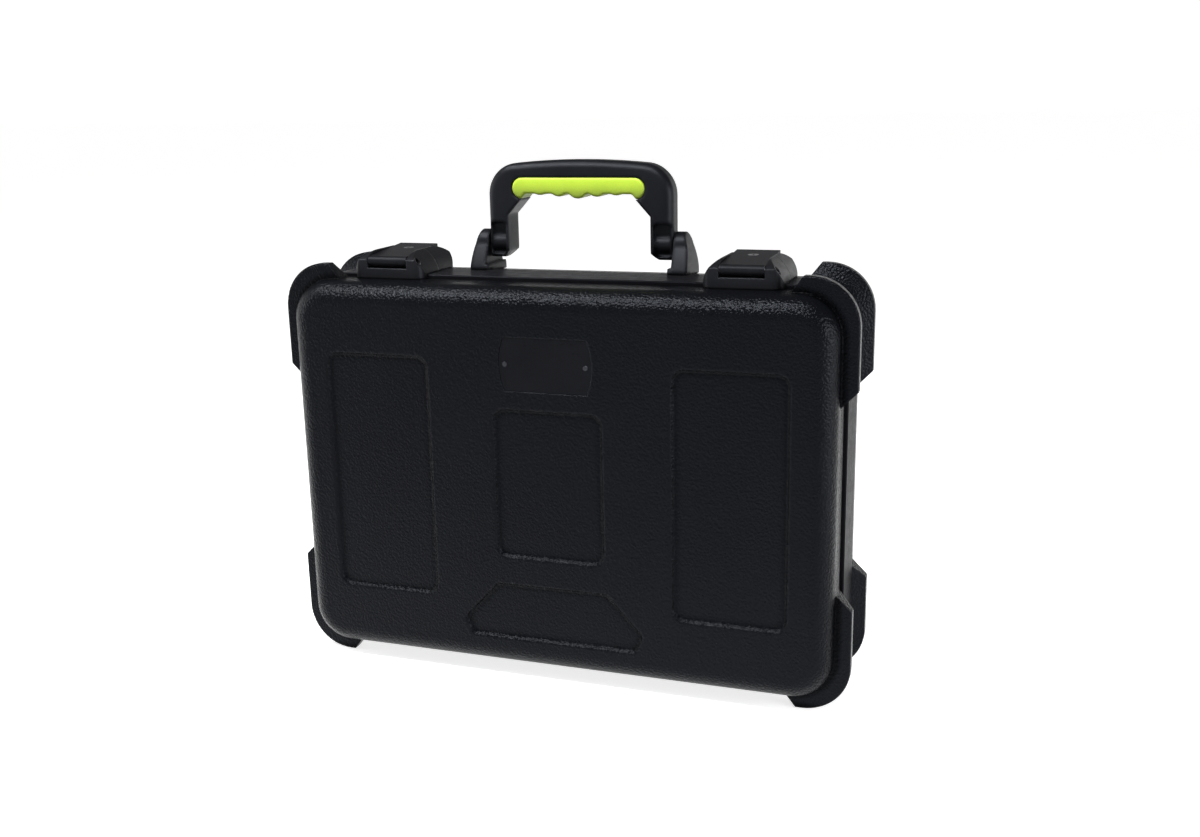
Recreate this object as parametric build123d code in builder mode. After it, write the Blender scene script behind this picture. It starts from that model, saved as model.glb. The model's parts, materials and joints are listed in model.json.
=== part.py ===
"""Moulded carrying case for microphones, standing upright on its corner bumpers.

X runs along the case, Y from the lid face (front, -Y) to the base face (back, +Y), Z up.
The origin is on the parting plane, midway along the case, level with the bottom of the bumpers.
All lengths are in millimetres, all angles in degrees.
"""
import os
from math import cos, radians, sin

from build123d import *

os.makedirs("parts", exist_ok=True)

# ---------------------------------------------------------------- driving dimensions
case_length = 495.0  # over the corner bumpers
case_height = 355.0  # over the corner bumpers
case_depth = 131.0  # lid face to base face
wall = 5.0
parting_gap = 0.15  # each half stops this far from the parting plane
seat_gap = 0.05  # between pieces that sit in one another
soft_gap = 0.3  # between foam and shell

# shells
bumper_proud = 13.0
shell_corner = 34.0
shell_edge_radius = 18.0
shell_draft = 0.7
lip_step = 2.0  # the lip that carries the edge band is set in by this much
lip_wall = wall - lip_step
cavity_edge_radius = 10.0

# edge bands
band_proud = 2.7  # beyond the shell wall
band_depth = 22.5  # from the parting plane
band_bridge = 4.5  # thickness of the flange over the end of the lip
band_groove = 6.0  # shadow groove between shell and band
ridge_count = 4
ridge_cut = 0.9
tongue_width = 2.4
tongue_height = 2.0
tongue_gap = 0.8

# corner bumpers
bumper_corner = 39.0
bumper_front = 44.9  # distance of the flat side from the parting plane
bumper_crest = 8.0
bumper_leg_up = 88.0
bumper_leg_along = 43.5
bumper_cut_along = 10.0
bumper_edge = 1.5
bumper_root = 1.0  # the rings reach this far into the shell, and their ends this far past it
bumper_bite = 3.0  # how far the corner stretches reach into the shell

# recesses in the faces
recess_depth = 3.0
recess_slope = 40.0  # lean of the recess walls
recess_edge = 2.0
panel_corner = 11.0
side_panel_size = (95.5, 211.0)
side_panel_offset = 152.3
middle_panel_size = (96.4, 129.5)
shield_half_widths = (49.3, 81.0, 74.5)  # top, shoulder, bottom
shield_drops = (87.7, 122.0, 138.4)  # below the middle of the face
shield_corner = 6.0

# name plate
plate_half_width = 35.7
plate_bulge = 4.4
plate_height = 44.4
plate_rise = 102.0  # above the middle of the face
plate_seat = 1.6
plate_thickness = 1.0
plate_rivet_offset = 34.8
plate_rivet_radius = 2.0
plate_rivet_depth = 3.2  # of the hole, from the face

# latches
latch_offset = 153.7
latch_reach = 34.5  # from the parting plane to either end
latch_top = 364.2
latch_top_half = 19.5
latch_shoulder = (27.4, 356.6)
latch_foot_half = 32.5
latch_foot_rise = 346.0
latch_corner = 9.0  # rounding of the upright corners
latch_nose = 357.5  # height of the top at either end
latch_flat = 14.0  # from the parting plane to where the top begins to fall
channel_half = 18.5
channel_floor = 350.5
channel_back_wall = 4.0  # behind the lever, on the base side
channel_open_end = -1.0  # no wall: the channel runs out of the front of the lid side
lever_half = 17.9
lever_pin_y = -29.5
lever_pin_z = 356.0
lever_pin_radius = 1.7
lever_pin_stand = 0.5  # of the pin's ends above the floor of their recess
pin_recess_radius = 3.1
pin_recess_half = 24.0  # from the middle of the latch to the floor of the recess
knuckle_radius = 4.5
lever_length = 58.5
lever_end_rise = 6.3  # top of the free end above the pin, when home
lever_thickness = 3.5
lever_tilt = 3.0  # the lever stands this far above home
lever_edge = 0.8
hook_thickness = 4.9
hook_drop = 3.0  # below the pin, when home
keeper_half = 14.0
keeper_thickness = 1.6
keeper_height = 4.7
keeper_length = 11.0
keeper_gap = 0.6  # between hook and keeper
plug_along = 38.0
plug_radius = 4.4
plug_cam_reach = 7.0
plug_cam_width = 4.0
plug_cam_thickness = 1.6
plug_cam_start = 2.0  # the cam's round end lies this far behind the plug's middle
keyway_width = 1.2
keyway_length = 5.5
keyway_depth = 1.5

# handle
handle_y = 32.5
handle_pivot_z = 367.5
handle_thickness = 24.0
handle_half = 82.5
handle_top = 437.8
handle_crown = 5.5
handle_corner = 27.0
handle_bottom = 354.8
leg_width = 18.5
leg_end_radius = 9.0
handle_edge = 7.0
leg_foot_cut = 6.0  # slanting cut at the inner side of each leg's foot
inner_corner_low = 391.3
inner_corner_half = 47.5
bar_underside = 409.5
grip_half = 59.5
grip_low = 405.0
grip_high = 423.7
grip_proud = 0.6
grip_valley = 2.5  # rounding between two fingers
grip_edge = 2.5
finger_pitch = 17.0
finger_radius = 9.5
finger_lows = (408.4, 407.2, 405.6, 407.2, 408.4)
pocket_wall = 2.0
pocket_low = 357.5
pocket_high = 385.5
pocket_depth = 7.5
pocket_corner = 3.0
hub_radius = 8.2
handle_pin_radius = 3.0
handle_pin_inner = 71.5
handle_pin_outer = 90.0

# handle brackets
bracket_front = 12.0
bracket_back = 53.0
bracket_inner = 80.5
bracket_outer = 97.0
bracket_horn_inner = 83.4
bracket_ledge = 349.5
bracket_top = 378.5
bracket_top_radius = 11.0
bracket_horn_top = 8.0  # width of the horn at its top
bracket_foot_rise = 5.0  # height of the upright edge at the foot
bracket_side_bow = 1.6  # how far the outer side bows out of a straight line
bracket_flank = (14.5, 7.0)  # a point of the flanks, from the pivot: out to the side, and down

# hinges
hinge_offset = 110.0
hinge_length = 84.0
hinge_axis_z = 6.2
knuckle_count = 5
hinge_radius = 3.6
hinge_pin_radius = 1.3
leaf_thickness = 1.8
leaf_depth = 21.0
leaf_setback = 5.0
knuckle_play = 0.4

# rivets
rivet_radius = 1.6
rivet_head_radius = 3.2
rivet_head_height = 1.5
rivet_grip = 6.0  # how far the shanks reach above the edge band
rivet_near = 15.0  # from the parting plane, through band and lip
rivet_far = 31.0  # from the parting plane, through the shell wall
bracket_rivet_near = 18.0
bracket_rivet_far = 43.0
bracket_rivet_cover = 2.0  # of bracket above the ends of its rivets
hinge_rivet_y = 13.0
hinge_rivet_pitch = 28.0

# foam
lid_foam_thickness = 30.0
floor_foam_thickness = 14.0
foam_setback = 1.5  # the insert stops short of the parting plane
foam_head_room = 3.5  # under the rivet heads at the top
slot_count = 6
slot_pitch = 68.0
slot_size = (42.0, 190.0)
slot_rise = 47.5
slot_corner = 6.0
tray_size = (382.0, 72.0)
tray_drop = 107.5

# ---------------------------------------------------------------- derived dimensions
middle_z = case_height / 2
half_length = case_length / 2
half_height = case_height / 2
half_depth = case_depth / 2
shell_half_x = half_length - bumper_proud
shell_half_z = half_height - bumper_proud
shell_top = middle_z + shell_half_z
shell_bottom = middle_z - shell_half_z
band_top = shell_top + band_proud
band_bottom = shell_bottom - band_proud
groove_y = band_depth + band_groove
cavity_depth = half_depth - wall - recess_depth / 2
cavity_top = shell_top - wall
cavity_bottom = shell_bottom + wall
rivet_spread = (channel_half + latch_foot_half) / 2
bracket_rivet_x = (bracket_inner + bracket_outer) / 2
bracket_rivet_top = bracket_ledge - bracket_rivet_cover
bracket_foot_top = shell_top + bracket_foot_rise


def front_plane(y, x=0.0, z=0.0):
    """A plane at the given Y that is looked at from the front: X right, Z up, normal to -Y."""
    return Plane(origin=(x, y, z), x_dir=(1, 0, 0), z_dir=(0, -1, 0))


def side_plane(x, y=0.0, z=0.0):
    """A plane at the given X: Y to its right, Z up, normal to +X."""
    return Plane(origin=(x, y, z), x_dir=(0, 1, 0), z_dir=(1, 0, 0))


# ---------------------------------------------------------------- shells
def wall_outline(inset):
    """The outline of the case wall, set in by the given amount from the shell's outer face."""
    RectangleRounded(
        2 * (shell_half_x - inset),
        2 * (shell_half_z - inset),
        shell_corner - inset,
    )


def corner_region():
    """One corner of the face: the stretch that a bumper covers, with its slanting ends."""
    over = bumper_root
    depth = bumper_proud + bumper_bite
    slant = bumper_cut_along / bumper_proud
    Polygon(
        (half_length + over, half_height + over),
        (half_length + over, half_height - bumper_leg_up + over),
        (half_length - depth, half_height - bumper_leg_up - depth),
        (half_length - bumper_leg_along - depth * slant, half_height - depth),
        (half_length - bumper_leg_along + over * slant, half_height + over),
        align=None,
    )


def bumper_ring():
    """The four corner bumpers of the lid: flat in front, wedge-shaped behind."""
    crest_back = bumper_front - bumper_crest
    with BuildPart() as ring:
        with BuildSketch(front_plane(-crest_back, z=middle_z)):
            RectangleRounded(case_length, case_height, bumper_corner)
        extrude(amount=bumper_crest)
        fillet(ring.faces().sort_by(Axis.Y)[0].edges(), bumper_edge)
        with BuildSketch(front_plane(-crest_back, z=middle_z)):
            RectangleRounded(case_length, case_height, bumper_corner)
        with BuildSketch(front_plane(-groove_y, z=middle_z)):
            wall_outline(bumper_root)
        loft()
        with BuildSketch(front_plane(-groove_y, z=middle_z)):
            corner_region()
            mirror(about=Plane.YZ)
            mirror(about=Plane.XZ)
        extrude(amount=half_depth, mode=Mode.INTERSECT)
    return ring


def shield_outline():
    """The six-sided recess under the middle panel."""
    right = [(half, -drop) for half, drop in zip(shield_half_widths, shield_drops)]
    left = [(-half, -drop) for half, drop in zip(shield_half_widths, shield_drops)]
    Polygon(*right, *reversed(left), align=None)


def plate_outline(inset):
    """The name plate: straight above and below, bowed out at the sides."""
    half = plate_half_width - inset
    rise = plate_height / 2 - inset
    bulge = half + plate_bulge
    with BuildLine() as rim:
        Line((-half, plate_rise + rise), (half, plate_rise + rise))
        ThreePointArc((half, plate_rise + rise), (bulge, plate_rise), (half, plate_rise - rise))
        Line((half, plate_rise - rise), (-half, plate_rise - rise))
        ThreePointArc((-half, plate_rise - rise), (-bulge, plate_rise), (-half, plate_rise + rise))
    make_face(rim.edges())


def latch_rivet_spots(side):
    """Where the latch bodies are riveted down: side is -1 on the lid, 1 on the base."""
    spots = []
    for centre in (-latch_offset, latch_offset):
        for across in (-rivet_spread, rivet_spread):
            spots.append((centre + across, side * rivet_near))
            spots.append((centre + across, side * rivet_far))
    return spots


def bracket_rivet_spots():
    """Where the handle brackets are riveted down."""
    rows = (bracket_rivet_near, bracket_rivet_far)
    return [(x, y) for x in (-bracket_rivet_x, bracket_rivet_x) for y in rows]


def hinge_rivet_spots(side):
    """Where the hinge leaves are riveted up into the edge bands."""
    steps = (-hinge_rivet_pitch, 0.0, hinge_rivet_pitch)
    return [(c + s, side * hinge_rivet_y) for c in (-hinge_offset, hinge_offset) for s in steps]


def half_shell(has_plate):
    """The lid's half of the case. The base half is its mirror image."""
    bumpers = bumper_ring()
    with BuildPart() as half:
        with BuildSketch(front_plane(-band_bridge, z=middle_z)):
            wall_outline(lip_step)
        extrude(amount=groove_y - band_bridge)
        with BuildSketch(front_plane(-groove_y, z=middle_z)):
            wall_outline(0)
        extrude(amount=half_depth - groove_y, taper=shell_draft)
        fillet(half.faces().sort_by(Axis.Y)[0].edges(), shell_edge_radius)
        add(bumpers.part)

        # recessed panels, with soft edges
        with BuildSketch(front_plane(-half_depth, z=middle_z)):
            with Locations((-side_panel_offset, 0), (side_panel_offset, 0)):
                RectangleRounded(*side_panel_size, panel_corner)
            RectangleRounded(*middle_panel_size, panel_corner)
        extrude(amount=-recess_depth, taper=recess_slope, mode=Mode.SUBTRACT)
        with BuildSketch(front_plane(-half_depth, z=middle_z)) as shield:
            shield_outline()
            fillet(shield.vertices(), shield_corner)
        extrude(amount=-recess_depth, taper=recess_slope, mode=Mode.SUBTRACT)
        face = half.faces().filter_by(Axis.Y).sort_by(Axis.Y)[0]
        fillet([edge for wire in face.inner_wires() for edge in wire.edges()], recess_edge)
        floors = half.faces().filter_by(Axis.Y).group_by(Axis.Y)[1]
        fillet(floors.edges(), recess_edge)

        # the hollow
        with BuildSketch(front_plane(0, z=middle_z)):
            wall_outline(wall)
        extrude(amount=cavity_depth, mode=Mode.SUBTRACT)
        hollow_floor = half.faces().filter_by(Axis.Y).filter_by(
            lambda f: abs(f.center().Y + cavity_depth) < seat_gap
        )
        fillet(hollow_floor.edges(), cavity_edge_radius)

        if has_plate:
            with BuildSketch(front_plane(-half_depth, z=middle_z)):
                plate_outline(0)
            extrude(amount=-plate_seat, mode=Mode.SUBTRACT)
            with BuildSketch(front_plane(-half_depth, z=middle_z + plate_rise)):
                with Locations((-plate_rivet_offset, 0), (plate_rivet_offset, 0)):
                    Circle(plate_rivet_radius + seat_gap)
            extrude(amount=-plate_rivet_depth, mode=Mode.SUBTRACT)
    return half


lid_half = half_shell(has_plate=True)
base_half = half_shell(has_plate=False)

with BuildPart() as lid_shell:
    add(lid_half.part)
    with BuildSketch(Plane.XY.offset(middle_z)):
        with Locations(*latch_rivet_spots(-1)):
            Circle(rivet_radius + seat_gap)
    extrude(amount=half_height, mode=Mode.SUBTRACT)
    with BuildSketch(Plane.XY.offset(middle_z)):
        with Locations(*hinge_rivet_spots(-1)):
            Circle(rivet_radius + seat_gap)
    extrude(amount=-half_height, mode=Mode.SUBTRACT)

with BuildPart() as base_shell:
    mirror(base_half.part, about=Plane.XZ)
    with BuildSketch(Plane.XY.offset(middle_z)):
        with Locations(*latch_rivet_spots(1), *bracket_rivet_spots()):
            Circle(rivet_radius + seat_gap)
    extrude(amount=half_height, mode=Mode.SUBTRACT)
    with BuildSketch(Plane.XY.offset(middle_z)):
        with Locations(*hinge_rivet_spots(1)):
            Circle(rivet_radius + seat_gap)
    extrude(amount=-half_height, mode=Mode.SUBTRACT)


# ---------------------------------------------------------------- edge bands
def band_profile(tongue):
    """Cross-section of an edge band: out from the lip's face, and away from the parting plane.

    The outer face carries ridges. The flange covers the end of the lip, and has a tongue on the
    lid and a wider groove for it on the base.
    """
    outer = lip_step + band_proud
    pitch = (band_depth - parting_gap) / ridge_count
    with BuildLine() as section:
        points = [(seat_gap, band_depth)]
        for ridge in range(ridge_count):
            start = band_depth - ridge * pitch
            points.append((outer - ridge_cut, start))
            points.append((outer, start - ridge_cut))
            points.append((outer, start - pitch + ridge_cut))
        points.append((outer - ridge_cut, parting_gap))
        centre = -lip_wall / 2
        if tongue:
            half = tongue_width / 2
            points.append((centre + half, parting_gap))
            points.append((centre + half / 2, parting_gap - tongue_height))
            points.append((centre - half / 2, parting_gap - tongue_height))
            points.append((centre - half, parting_gap))
        points.append((-lip_wall, parting_gap))
        points.append((-lip_wall, band_bridge))
        points.append((seat_gap, band_bridge))
        Polyline(*points, close=True)
    make_face(section.edges())
    if not tongue:
        half = tongue_width / 2 + tongue_gap
        deep = tongue_height + tongue_gap
        with Locations((centre, parting_gap + deep / 2)):
            Rectangle(2 * half, deep, mode=Mode.SUBTRACT)


def edge_band(tongue):
    """A ridged band round the lip of the lid."""
    with BuildPart() as band:
        with BuildSketch(front_plane(0, z=middle_z), mode=Mode.PRIVATE) as lip:
            wall_outline(lip_step)
        path = lip.sketch.faces()[0].outer_wire()
        start = Plane(
            origin=(shell_half_x - lip_step, 0, middle_z), x_dir=(1, 0, 0), z_dir=(0, 0, 1)
        )
        with BuildSketch(start):
            band_profile(tongue)
            mirror(about=Plane.XZ, mode=Mode.REPLACE)
        sweep(path=path)
    return band


lid_band = edge_band(tongue=True)
base_band = edge_band(tongue=False)

with BuildPart() as lid_valance:
    add(lid_band.part)
    with BuildSketch(Plane.XY.offset(middle_z)):
        with Locations(*latch_rivet_spots(-1)):
            Circle(rivet_radius + seat_gap)
    extrude(amount=half_height, mode=Mode.SUBTRACT)
    with BuildSketch(Plane.XY.offset(middle_z)):
        with Locations(*hinge_rivet_spots(-1)):
            Circle(rivet_radius + seat_gap)
    extrude(amount=-half_height, mode=Mode.SUBTRACT)

with BuildPart() as base_valance:
    mirror(base_band.part, about=Plane.XZ)
    with BuildSketch(Plane.XY.offset(middle_z)):
        with Locations(*latch_rivet_spots(1), *bracket_rivet_spots()):
            Circle(rivet_radius + seat_gap)
    extrude(amount=half_height, mode=Mode.SUBTRACT)
    with BuildSketch(Plane.XY.offset(middle_z)):
        with Locations(*hinge_rivet_spots(1)):
            Circle(rivet_radius + seat_gap)
    extrude(amount=-half_height, mode=Mode.SUBTRACT)

# ---------------------------------------------------------------- name plate
with BuildPart() as name_plate:
    with BuildSketch(front_plane(-half_depth + plate_seat, z=middle_z)):
        plate_outline(2 * seat_gap)
    extrude(amount=plate_thickness)
    with BuildSketch(front_plane(-half_depth + plate_seat, z=middle_z + plate_rise)):
        with Locations((-plate_rivet_offset, 0), (plate_rivet_offset, 0)):
            Circle(plate_rivet_radius / 2 + seat_gap)
    extrude(amount=plate_thickness, mode=Mode.SUBTRACT)

with BuildPart() as name_plate_rivets:
    with BuildSketch(front_plane(-half_depth + plate_rivet_depth, z=middle_z + plate_rise)):
        with Locations((-plate_rivet_offset, 0), (plate_rivet_offset, 0)):
            Circle(plate_rivet_radius / 2)
    extrude(amount=plate_rivet_depth - plate_seat + plate_thickness)
    head_y = -half_depth + plate_seat - plate_thickness
    with BuildSketch(front_plane(head_y, z=middle_z + plate_rise)):
        with Locations((-plate_rivet_offset, 0), (plate_rivet_offset, 0)):
            Circle(plate_rivet_radius)
    extrude(amount=plate_thickness / 2)


# ---------------------------------------------------------------- latches
def loaf_outline():
    """Cross-section of a latch body, looked at from the front."""
    foot = (latch_foot_half, latch_foot_rise)
    with BuildLine() as arch:
        Line((0, latch_top), (latch_top_half, latch_top))
        ThreePointArc((latch_top_half, latch_top), latch_shoulder, foot)
        Line(foot, (latch_foot_half, shell_top))
        Line((latch_foot_half, shell_top), (0, shell_top))
        mirror(about=Plane.YZ)
    make_face(arch.edges())


def latch_body(centre, back_wall):
    """The lid-side body of a latch: an arched block with a channel for the lever."""
    with BuildPart() as body:
        with BuildSketch(front_plane(-parting_gap, x=centre)):
            loaf_outline()
        extrude(amount=latch_reach - parting_gap)
        with BuildSketch(Plane.XY.offset(shell_top)):
            with Locations((centre, 0)):
                RectangleRounded(2 * latch_foot_half, 2 * latch_reach, latch_corner)
        extrude(amount=latch_top - shell_top, mode=Mode.INTERSECT)
        with BuildSketch(side_plane(centre)):
            with BuildLine():
                Polyline(
                    (-latch_flat, latch_top),
                    (0, latch_top),
                    (0, shell_top),
                    (-latch_reach, shell_top),
                    (-latch_reach, latch_nose),
                )
                TangentArc((-latch_flat, latch_top), (-latch_reach, latch_nose), tangent=(-1, 0))
            make_face()
        extrude(amount=latch_foot_half, both=True, mode=Mode.INTERSECT)
        with BuildSketch(front_plane(0, x=centre)):
            with Locations((0, channel_floor)):
                Rectangle(2 * channel_half, half_height, align=(Align.CENTER, Align.MIN))
        extrude(amount=latch_reach - back_wall, mode=Mode.SUBTRACT)
        with BuildSketch(side_plane(centre)):
            with Locations((0, shell_top)):
                Rectangle(2 * (band_depth + seat_gap), 2 * band_proud)
        extrude(amount=half_length, both=True, mode=Mode.SUBTRACT)
        with BuildSketch(Plane.XY.offset(middle_z)):
            with Locations(*latch_rivet_spots(-1)):
                Circle(rivet_radius + seat_gap)
        extrude(amount=band_top + rivet_grip - middle_z, mode=Mode.SUBTRACT)
    return body


def lever_plane(x, tilt=lever_tilt):
    """The lever's own plane: along the lever, and up from it, with the pin at its origin."""
    along = (0, cos(radians(tilt)), sin(radians(tilt)))
    return Plane(origin=(x, lever_pin_y, lever_pin_z), x_dir=along, z_dir=(1, 0, 0))


def lever_slope(along):
    """Height of the lever's top face above the pin."""
    return knuckle_radius + (lever_end_rise - knuckle_radius) * along / lever_length


def latch_lever(centre):
    """The lever: a knuckle on the pin, a plate back over the parting line, and a hook."""
    hook_start = lever_length - hook_thickness
    with BuildPart() as lever:
        with BuildSketch(lever_plane(centre)) as profile:
            with BuildLine():
                Polyline(
                    (0, lever_slope(0)),
                    (lever_length, lever_slope(lever_length)),
                    (lever_length, -hook_drop),
                    (hook_start, -hook_drop),
                    (hook_start, lever_slope(hook_start) - lever_thickness),
                    (knuckle_radius / 2, lever_slope(0) - lever_thickness),
                    (0, 0),
                    close=True,
                )
            make_face()
            Circle(knuckle_radius)
            Circle(lever_pin_radius + seat_gap, mode=Mode.SUBTRACT)
        extrude(amount=lever_half, both=True)
        free_end = lever.edges().filter_by(Axis.X).sort_by(Axis.Z)[-1]
        fillet(free_end, lever_edge)
        with BuildSketch(plug_plane(centre)):
            Circle(plug_radius + seat_gap)
        extrude(amount=lever_thickness * 2, both=True, mode=Mode.SUBTRACT)
    return lever


def plug_plane(centre):
    """Square to the lever's top face, at the key plug."""
    level = lever_plane(centre)
    origin = level.from_local_coords((plug_along, lever_slope(plug_along), 0))
    return Plane(origin=origin, x_dir=level.x_dir, z_dir=level.y_dir)


def key_plug(centre):
    """The key plug: a round plug with a keyway above and a short cam below the lever."""
    with BuildPart() as plug:
        with BuildSketch(plug_plane(centre).offset(-lever_thickness - plug_cam_thickness)):
            Circle(plug_radius)
        extrude(amount=lever_thickness + plug_cam_thickness)
        with BuildSketch(plug_plane(centre).offset(-keyway_depth)):
            SlotOverall(keyway_length, keyway_width)
        extrude(amount=2 * keyway_depth, mode=Mode.SUBTRACT)
        with BuildSketch(plug_plane(centre).offset(-lever_thickness - plug_cam_thickness)):
            with Locations(((plug_cam_reach - plug_cam_start) / 2, 0)):
                SlotOverall(plug_cam_reach + plug_cam_start, plug_cam_width)
        extrude(amount=plug_cam_thickness - soft_gap)
    return plug


def lever_pin(centre):
    """The pin through both cheeks of a latch body."""
    with BuildPart() as pin:
        with BuildSketch(side_plane(centre, lever_pin_y, lever_pin_z)):
            Circle(lever_pin_radius)
        extrude(amount=pin_recess_half + lever_pin_stand, both=True)
    return pin


def keeper(centre):
    """The steel keeper on the floor of the base-side body: a flange and an upright."""
    back = lever_pin_y + lever_length - hook_thickness - keeper_gap
    with BuildPart() as strike:
        with BuildSketch(side_plane(centre)):
            with BuildLine():
                Polyline(
                    (back - keeper_length, channel_floor),
                    (back, channel_floor),
                    (back, channel_floor + keeper_height),
                    (back - keeper_thickness, channel_floor + keeper_height),
                    (back - keeper_thickness, channel_floor + keeper_thickness),
                    (back - keeper_length, channel_floor + keeper_thickness),
                    close=True,
                )
            make_face()
        extrude(amount=keeper_half, both=True)
    return strike


def with_pin_hole(body, centre):
    """Drill the pin hole through both cheeks, with a round recess for each end of the pin."""
    with BuildPart() as drilled:
        add(body.part)
        with BuildSketch(side_plane(centre, lever_pin_y, lever_pin_z)):
            Circle(lever_pin_radius + seat_gap)
        extrude(amount=latch_foot_half, both=True, mode=Mode.SUBTRACT)
        for side in (-1, 1):
            with BuildSketch(side_plane(centre + side * pin_recess_half, lever_pin_y, lever_pin_z)):
                Circle(pin_recess_radius)
            extrude(amount=side * (latch_foot_half - pin_recess_half), mode=Mode.SUBTRACT)
    return drilled


latch_left_housing = with_pin_hole(latch_body(-latch_offset, back_wall=channel_open_end), -latch_offset)
latch_right_housing = with_pin_hole(latch_body(latch_offset, back_wall=channel_open_end), latch_offset)
latch_left_lever = latch_lever(-latch_offset)
latch_right_lever = latch_lever(latch_offset)
latch_left_pin = lever_pin(-latch_offset)
latch_right_pin = lever_pin(latch_offset)
latch_left_key_plug = key_plug(-latch_offset)
latch_right_key_plug = key_plug(latch_offset)
latch_left_keeper = keeper(-latch_offset)
latch_right_keeper = keeper(latch_offset)

with BuildPart() as latch_left_catch:
    mirror(latch_body(-latch_offset, back_wall=channel_back_wall).part, about=Plane.XZ)

with BuildPart() as latch_right_catch:
    mirror(latch_body(latch_offset, back_wall=channel_back_wall).part, about=Plane.XZ)

# ---------------------------------------------------------------- handle
grip_height = grip_high - grip_low
inner_half = handle_half - leg_width


def finger_space(mode=Mode.ADD):
    """The open space under the bar of the handle, with its slanting upper corners."""
    Polygon(
        (-inner_half, 0),
        (inner_half, 0),
        (inner_half, inner_corner_low),
        (inner_corner_half, bar_underside),
        (-inner_corner_half, bar_underside),
        (-inner_half, inner_corner_low),
        align=None,
        mode=mode,
    )


def grip_seat():
    """The long rounded seat of the grip in the bar."""
    with Locations((0, grip_low + grip_height / 2)):
        SlotOverall(2 * grip_half, grip_height)


with BuildPart() as handle_bail:
    with BuildSketch(front_plane(handle_y)) as outline:
        with BuildLine():
            left_top = (-handle_half, handle_top - handle_crown)
            right_top = (handle_half, handle_top - handle_crown)
            ThreePointArc(left_top, (0, handle_top), right_top)
            Line(right_top, (handle_half, shell_top))
            Line((handle_half, shell_top), (-handle_half, shell_top))
            Line((-handle_half, shell_top), left_top)
        make_face()
        fillet(outline.vertices().group_by(Axis.Y)[-1], handle_corner)
    extrude(amount=handle_thickness / 2, both=True)
    rims = handle_bail.faces().filter_by(Axis.Y).edges()
    fillet(rims.filter_by(lambda e: e.center().Z > shell_top + handle_edge), handle_edge)
    # round off the ends of the legs
    with BuildSketch(side_plane(0)) as side_view:
        with Locations((handle_y, handle_bottom)):
            Rectangle(handle_thickness, case_height, align=(Align.CENTER, Align.MIN))
        fillet(side_view.vertices().group_by(Axis.Y)[0], leg_end_radius)
    extrude(amount=half_length, both=True, mode=Mode.INTERSECT)
    with BuildSketch(front_plane(handle_y)):
        finger_space()
        grip_seat()
        for side in (-1, 1):
            Polygon(
                (side * inner_half, handle_bottom),
                (side * (inner_half + leg_foot_cut), handle_bottom),
                (side * inner_half, handle_bottom + leg_foot_cut),
                align=None,
            )
    extrude(amount=handle_thickness, both=True, mode=Mode.SUBTRACT)
    # pockets in the front of the legs, with the hubs left standing in them
    pocket_width = leg_width - 2 * pocket_wall
    pocket_height = pocket_high - pocket_low
    pocket_x = handle_half - leg_width / 2
    pocket_z = (pocket_high + pocket_low) / 2
    with BuildSketch(front_plane(handle_y - handle_thickness / 2 + pocket_depth)):
        with Locations((-pocket_x, pocket_z), (pocket_x, pocket_z)):
            RectangleRounded(pocket_width, pocket_height, pocket_corner)
    extrude(amount=pocket_depth, mode=Mode.SUBTRACT)
    for side in (-1, 1):
        with BuildSketch(side_plane(side * pocket_x, handle_y, handle_pivot_z)):
            Circle(hub_radius)
        extrude(amount=pocket_width / 2, both=True)
        with BuildSketch(side_plane(side * (handle_pin_inner + handle_half) / 2, handle_y, handle_pivot_z)):
            Circle(handle_pin_radius + seat_gap)
        extrude(amount=(handle_half - handle_pin_inner) / 2 + seat_gap, both=True, mode=Mode.SUBTRACT)

with BuildPart() as handle_grip:
    with BuildSketch(front_plane(handle_y)) as grip_outline:
        grip_seat()
        finger_space(mode=Mode.SUBTRACT)
        for finger, low in enumerate(finger_lows):
            finger_x = (finger - (len(finger_lows) - 1) / 2) * finger_pitch
            with Locations((finger_x, low + finger_radius)):
                Circle(finger_radius)
        with Locations((0, grip_high)):
            Rectangle(2 * grip_half, grip_height, align=(Align.CENTER, Align.MIN), mode=Mode.SUBTRACT)
        valleys = grip_outline.vertices().filter_by(
            lambda v: abs(v.X) < 2 * finger_pitch and v.Y < bar_underside + grip_valley
        )
        fillet(valleys, grip_valley)
    extrude(amount=handle_thickness / 2 + grip_proud, both=True)
    fillet(handle_grip.faces().filter_by(Axis.Y).edges(), grip_edge)

with BuildPart() as handle_pin_right:
    pin_middle = (handle_pin_inner + handle_pin_outer) / 2
    with BuildSketch(side_plane(pin_middle, handle_y, handle_pivot_z)):
        Circle(handle_pin_radius)
    extrude(amount=(handle_pin_outer - handle_pin_inner) / 2, both=True)

with BuildPart() as handle_pin_left:
    mirror(handle_pin_right.part, about=Plane.YZ)

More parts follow.
